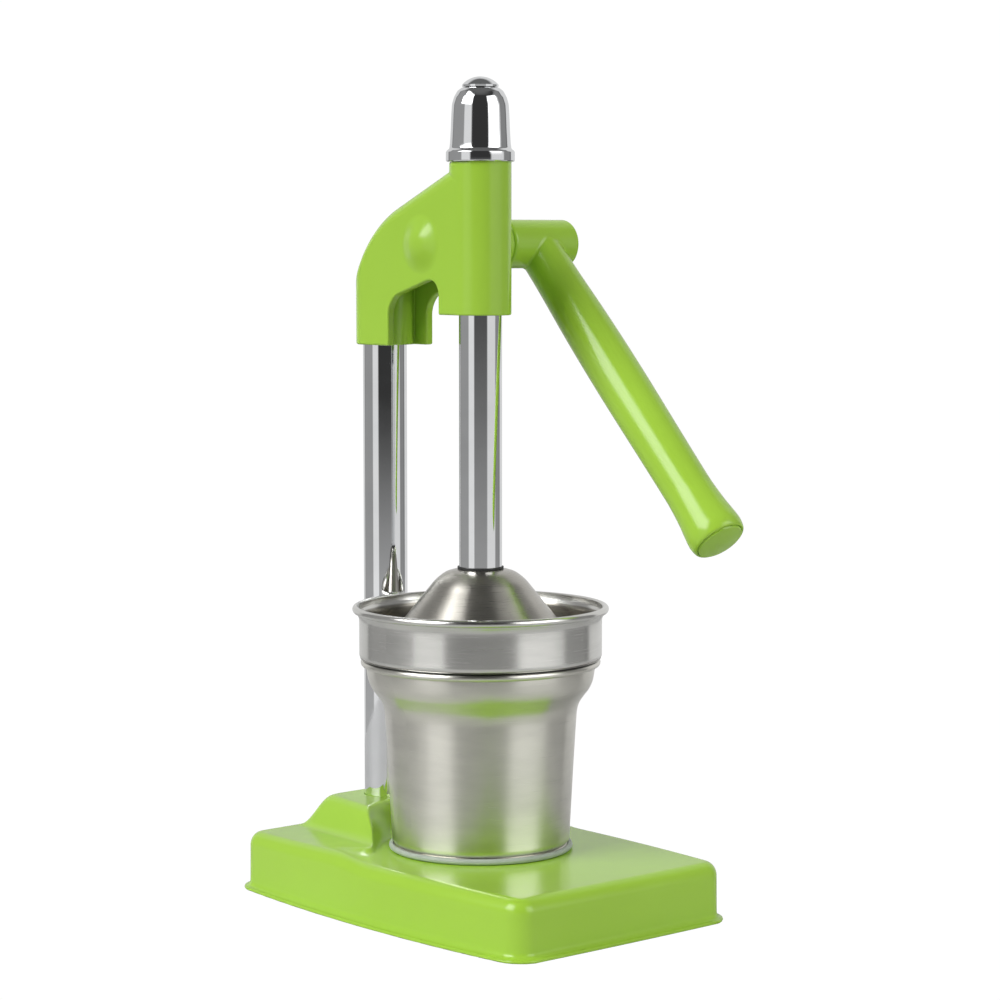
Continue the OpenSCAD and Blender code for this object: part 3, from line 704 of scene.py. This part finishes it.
LEVER_X = 54.2                  # the plane that the lever swings in
LEVER_LENGTH = 174.7            # from the shaft's axis
LEVER_DROP = math.radians(46.7)  # below level, at rest
HUB_R = 11.0
HUB_START, HUB_END = lever_low[0], lever_high[0]
HUB_MIDDLE, HUB_HALF = (HUB_START + HUB_END) / 2, (HUB_END - HUB_START) / 2
SHAFT_BORE_R, SHAFT_BORE_END = 5.02, 64
TUBE_BORE_R, TUBE_BORE_START = 7.5, 30
PLUG_SEAT_R, PLUG_SEAT = 10.6, LEVER_LENGTH - 4
# radius along the lever, swelling twice towards its end
SWELL = np.array(curve([(0, 9.9), (22, 10.1), (46, 10.8), (66, 11.15), (90, 11.2), (118, 10.9), (142, 10.7),
                        (150, 10.85), (158, 11.4), (164, 12.1), (169, 12.6), (172.2, 12.3), (174.4, 11.5),
                        (177, 10.2)], 10))


def lever_field(x, along, across):
    """The lever in its own axes: beside the press, along itself from the shaft, and across."""
    from_axis = np.hypot(x - LEVER_X, across)
    from_shaft = np.hypot(along, across)
    arm = both(from_axis - np.interp(along, SWELL[:, 0], SWELL[:, 1]), along - LEVER_LENGTH + 0.3, 1.2)
    arm = both(arm, 5 - along)
    hub = both(from_shaft - HUB_R, np.abs(x - HUB_MIDDLE) - HUB_HALF, 1.6)
    body = either(arm, hub, 0.9)
    body = without(body, both(from_shaft - SHAFT_BORE_R, x - SHAFT_BORE_END))
    body = without(body, both(from_axis - TUBE_BORE_R, TUBE_BORE_START - along))
    return without(body, both(from_axis - PLUG_SEAT_R, PLUG_SEAT - along), 0.25)


def from_lever(vectors):
    """Turns vectors from the lever's own axes into the frame's."""
    along, across = vectors[:, 1], vectors[:, 2]
    y = -along * math.cos(LEVER_DROP) + across * math.sin(LEVER_DROP)
    z = -along * math.sin(LEVER_DROP) - across * math.cos(LEVER_DROP)
    return np.stack([vectors[:, 0], y, z], 1)


SHAFT_CENTRE = np.array([0, SHAFT_Y, SHAFT_Z])
lever_box = (HUB_START - 1.5, -14, -15), (HUB_END + 1.5, LEVER_LENGTH + 2, 15)
points, faces, normals = surface(lever_field, *lever_box, 0.7)
add_piece("lever", from_lever(points) + SHAFT_CENTRE, faces, "lever", GREEN,
          ("handle_lever",), from_lever(normals))

PLUG_R = 10.25
PLUG_DOME = 0.9
PLUG = [(0, LEVER_LENGTH - 14), (7.4, LEVER_LENGTH - 14), (7.4, LEVER_LENGTH - 3.9),
        (10.5, LEVER_LENGTH - 3.9), (10.5, LEVER_LENGTH - 0.35), (PLUG_R, LEVER_LENGTH - 0.02)]
PLUG += [(r, LEVER_LENGTH + PLUG_DOME * (1 - (r / PLUG_R) ** 2)) for r in (9, 7.5, 6, 4.5, 3, 1.5, 0)]
points, faces = revolve(PLUG, 128, 0)
x, across, along = np.array(points).T
add_piece("lever_plug", from_lever(np.stack([x + LEVER_X, along, across], 1)) + SHAFT_CENTRE,
          [face[::-1] for face in faces], "lever", GREEN, ("handle_end_plug",))


# ------------------------------------------------------------------ plunger, cap and bell

CAP_Z = cap_low[2]
CAP_TOP = CAP_Z + 32.3
CAP_BORE = 3.05
CAP_INSIDE = 11.4
CAP = [(CAP_INSIDE, CAP_Z, 0.2), (14.6, CAP_Z, 0.4), (15.05, CAP_Z + 0.5, 0.3), (15.05, CAP_Z + 4.2, 0.5),
       (14.6, CAP_Z + 4.9, 0.6), (13.55, CAP_Z + 5.7, 1.2), (13.25, CAP_Z + 8, 3), (12.9, CAP_Z + 14, 20),
       (12.65, CAP_Z + 20.3, 12), (12.35, CAP_Z + 25.0, 8), (11.45, CAP_Z + 28.0, 5), (10.0, CAP_Z + 30.6, 3),
       (8.2, CAP_TOP - 0.3, 2), (6.5, CAP_TOP, 0), (CAP_BORE, CAP_TOP, 0), (CAP_BORE, CAP_Z + 26.0, 0),
       (CAP_INSIDE, CAP_Z + 26.0, 0.5)]
add_turned("cap", rounded(CAP), "plunger", CHROME, "cap_dome")

KNOB_R = 7.9
KNOB_CROWN_R = 10.6
KNOB_TOP = knob_high[2]
KNOB = [(0, knob_low[2]), (3, knob_low[2]), (3, CAP_TOP + 0.05), (KNOB_R, CAP_TOP + 0.05)]
KNOB += [(KNOB_CROWN_R * math.cos(a), KNOB_TOP - KNOB_CROWN_R * (1 - math.sin(a)))
         for a in np.linspace(math.acos((KNOB_R + 0.1) / KNOB_CROWN_R), math.pi / 2, 12)[:-1]]
KNOB += [(0, KNOB_TOP)]
add_turned("cap_knob", KNOB, "plunger", CHROME, "cap_screw", segments=128)

BELL_TOP, BELL_LOW = bell_high[2], bell_low[2]
BELL_SHEET = 1.5
BELL_BORE = 3.3
BELL_FLAT = 8.6                 # radius of the flat that the rod stands on
BELL_OUT = [(BELL_FLAT, BELL_TOP)] + curve(
    [(10.6, BELL_TOP - 0.05), (12.9, BELL_TOP - 0.5), (16.0, BELL_TOP - 1.7), (19.9, BELL_TOP - 4.8),
     (23.1, BELL_TOP - 8.6), (26.2, BELL_TOP - 12.4), (31.0, BELL_TOP - 18.4), (36.5, BELL_TOP - 25.2),
     (38.9, BELL_TOP - 27.6)], 6)
BELL_IN = inward(BELL_OUT, -BELL_SHEET)
BELL_IN[-1][0] = BELL_FLAT
BELL_LIP = rounded([(38.9, BELL_LOW + 0.75, 0), (39.55, BELL_LOW + 0.6, 0.3), (39.55, BELL_LOW + 0.05, 0.3),
                    (37.0, BELL_LOW + 0.05, 0.3)])
BELL = [(BELL_BORE, BELL_TOP), *BELL_OUT[:-1], *BELL_LIP, *BELL_IN[1:], (BELL_BORE, BELL_TOP - BELL_SHEET)]
add_turned("bell", BELL, "plunger", BELL_STEEL, "press_bell")


# ------------------------------------------------------------------ cup, bowl and foot ring

CUP_SHEET = 0.9
BEAD_R = 1.6
# radius and depth below the cup's top, down its shoulder and its tapering wall
CUP_SIDE = [(50.55, 3.5), (50.3, 6.1), (49.6, 9.7), (48.2, 12.9), (45.9, 16), (43.8, 19.2), (42.75, 22.8),
            (42.35, 27.1), (41.55, 39.8), (40.7, 55.1), (39.9, 70.1), (39.35, 80.7)]
CUP_WALL = curve([(r, CUP_TOP - depth) for r, depth in reversed(CUP_SIDE)], 6)
CUP = rounded([(0, CUP_FLOOR - 1, 0), (38.0, CUP_FLOOR - 1, 1.0), (38.9, CUP_FLOOR + 0.6, 0.8)], 15)
CUP += [*CUP_WALL, *arc(51.4, CUP_TOP - BEAD_R, BEAD_R, -122, 141, 12), *inward(CUP_WALL, CUP_SHEET)]
CUP += rounded([(0, 0, 0), (37.9, CUP_FLOOR, 1.5), (0, CUP_FLOOR, 0)], 15)[1:]
add_turned("cup", CUP, "cup", CUP_STEEL, "juice_cup", segments=224)

BOWL_Z = CUP_TOP + 0.1          # the bowl stands on the cup's bead
WALL_R = 53.6
LIP_Z = BOWL_TOP - BEAD_R
BOWL_WALL = curve([(WALL_R, BOWL_Z + 1.6), (WALL_R, BOWL_Z + 8), (WALL_R + 0.02, LIP_Z - 5.5),
                   (WALL_R + 0.35, LIP_Z - 3.4), (WALL_R + 1.15, LIP_Z - 1.85)], 6)
BOWL_FLOOR = [(50.6, BOWL_Z + 1.4), (44, BOWL_Z - 2.8), (11, BOWL_Z - 7.8)]
SPOUT = [(9, BOWL_Z - 9.7), (9, BOWL_Z - 14.2), (10, BOWL_Z - 14.2), (10, BOWL_Z - 10.2), (11.6, BOWL_Z - 9)]
COLLAR = [(44, BOWL_Z - 4.2), (47.9, BOWL_Z - 3.4), (47.9, BOWL_Z - 5.2), (49, BOWL_Z - 5.2)]
BOWL = rounded([(49.0, BOWL_Z, 0), (52.8, BOWL_Z, 0.3), (WALL_R, BOWL_Z + 0.8, 0.7)], 15)
BOWL += [*BOWL_WALL, *arc(BOWL_R - 1.65, LIP_Z, BEAD_R, -100, 141, 12), *inward(BOWL_WALL, CUP_SHEET)]
BOWL += BOWL_FLOOR + SPOUT + COLLAR
add_turned("bowl", BOWL, "bowl", BOWL_STEEL, "juice_bowl", segments=224)

RING_R = 1.3
RING = [(38.15, RING_LOW), *arc(39.5, RING_LOW + RING_R, RING_R, -90, 91, 15)]
RING += [(39.05, RING_LOW + 2.55), (38.75, CUP_FLOOR + 0.1), (38.1, CUP_FLOOR - 1.1)]
add_turned("foot_ring", RING, "cup", GREY, "cup_foot_ring")


# ------------------------------------------------------------------ camera

AZIMUTH, ELEVATION, DISTANCE = math.radians(-40.909), math.radians(5.124), 1.265
front = Vector((math.sin(AZIMUTH), -math.cos(AZIMUTH), 0))
back = front * math.cos(ELEVATION) + Vector((0, 0, math.sin(ELEVATION)))
target = Vector((0, PRESS_Y - 13.06, 181.9)) * MM
camera = bpy.data.objects.new("camera", bpy.data.cameras.new("camera"))
bpy.context.scene.collection.objects.link(camera)
camera.location = target + back * DISTANCE
camera.rotation_mode = "QUATERNION"
camera.rotation_quaternion = (-back).to_track_quat("-Z", "Y")
camera.data.sensor_width = 36
camera.data.lens = 104.27
camera.data.clip_start, camera.data.clip_end = 0.05, 50
bpy.context.scene.camera = camera


# ------------------------------------------------------------------ floor

BACKDROP = 1.02                 # what the camera sees of the floor and the studio
FLOOR_Z = -0.05
FLOOR_RINGS = (150, 300, 430)
FLOOR_SIDES = 96


def floor_mesh():
    """A round disc of rings and a centre."""
    points, faces = [(0, 0, FLOOR_Z)], []
    for radius in FLOOR_RINGS:
        for k in range(FLOOR_SIDES):
            a = 2 * math.pi * k / FLOOR_SIDES
            points.append((radius * math.cos(a), radius * math.sin(a), FLOOR_Z))
    for k in range(FLOOR_SIDES):
        after = (k + 1) % FLOOR_SIDES
        faces.append([0, 1 + k, 1 + after])
        for inner in range(1, 1 + FLOOR_SIDES * (len(FLOOR_RINGS) - 1), FLOOR_SIDES):
            outer = inner + FLOOR_SIDES
            faces.append([inner + k, outer + k, outer + after, inner + after])
    mesh = bpy.data.meshes.new("floor")
    mesh.from_pydata((np.array(points) * MM).tolist(), [], faces)
    return mesh


def pale_floor():
    """Light grey to the object, white to the camera."""
    n = Material("pale_floor")
    shade = n.mottled(n.place(), 4, 2, (0.60, 0.60, 0.60), (0.63, 0.63, 0.63))
    n.link(shade, n.shader.inputs["Base Color"])
    n.shader.inputs["Roughness"].default_value = 0.8
    white = n.node("ShaderNodeEmission")
    n.link((1.0, 1.0, 1.0), white.inputs["Color"])
    n.link(BACKDROP, white.inputs["Strength"])
    n.for_camera(white.outputs[0], n.shader.outputs[0], n.tree.nodes["Material Output"])
    return n.material


floor = bpy.data.objects.new("floor", floor_mesh())
floor.data.materials.append(pale_floor())
bpy.context.scene.collection.objects.link(floor)


# ------------------------------------------------------------------ studio light

# Soft panels round the studio, each added to the ones before it: the range of degrees round the
# room and how soft its ends are, the same for its height, and its radiance. 0 round the room is the
# front, and positive is to its right.
PANELS = [
    ((-181, 181), 0.1, (-91, 91), 0.1, 0.035),
    ((-36, 38), 8, (-91, -3.5), 8, 0.26),
    ((-181, 181), 0.1, (-91, -8), 10, 0.10),
    ((-66, -34), 7, (-14, 50), 9, 0.70),
    ((-84, -36), 5, (18, 54), 8, 5.4),
    ((37, 86), 8, (-14, 46), 9, 0.64),
    ((33, 78), 7, (6, 44), 8, 2.0),
    ((-130, -66), 10, (-20, 52), 20, 0.26),
    ((86, 120), 14, (-20, 52), 20, 0.20),
    ((124, 185), 6, (-14, 52), 20, 0.66),
    ((-185, -133), 6, (-14, 52), 20, 0.62),
    ((-181, 181), 0.1, (58, 91), 14, 0.09),
]


def band(n, angle, limits, soft):
    """1 where the angle is within the limits, fading to 0 over soft degrees."""
    low, high = limits
    up = n.ramp(angle, 0, 1, low - soft / 2, low + soft / 2, "SMOOTHSTEP")
    down = n.ramp(angle, 1, 0, high - soft / 2, high + soft / 2, "SMOOTHSTEP")
    return n.math("MULTIPLY", up, down)


def studio():
    world = bpy.data.worlds.new("studio")
    world.use_nodes = True
    n = Nodes(world.node_tree)
    n.tree.nodes.clear()
    x, y, z = n.split(n.node("ShaderNodeTexCoord").outputs["Generated"])
    ahead = n.math("ADD", n.math("MULTIPLY", x, front.x), n.math("MULTIPLY", y, front.y))
    right = n.math("ADD", n.math("MULTIPLY", x, -front.y), n.math("MULTIPLY", y, front.x))
    per_radian = 180 / math.pi
    turn = n.math("MULTIPLY", n.math("ARCTAN2", right, ahead), per_radian)
    rise = n.math("MULTIPLY", n.math("ARCSINE", z), per_radian)
    total = 0.0
    for turn_limits, turn_soft, rise_limits, rise_soft, radiance in PANELS:
        across = band(n, turn, turn_limits, turn_soft)
        upward = band(n, rise, rise_limits, rise_soft)
        total = n.math("MULTIPLY_ADD", n.math("MULTIPLY", across, upward), radiance, total)
    shades = []
    for strength in (BACKDROP, total):
        shade = n.node("ShaderNodeBackground")
        n.link((1.0, 1.0, 1.0), shade.inputs["Color"])
        n.link(strength, shade.inputs["Strength"])
        shades.append(shade.outputs[0])
    n.for_camera(*shades, n.node("ShaderNodeOutputWorld"))
    return world


bpy.context.scene.world = studio()
bpy.context.scene.view_settings.view_transform = "Standard"
bpy.context.scene.view_settings.look = "None"
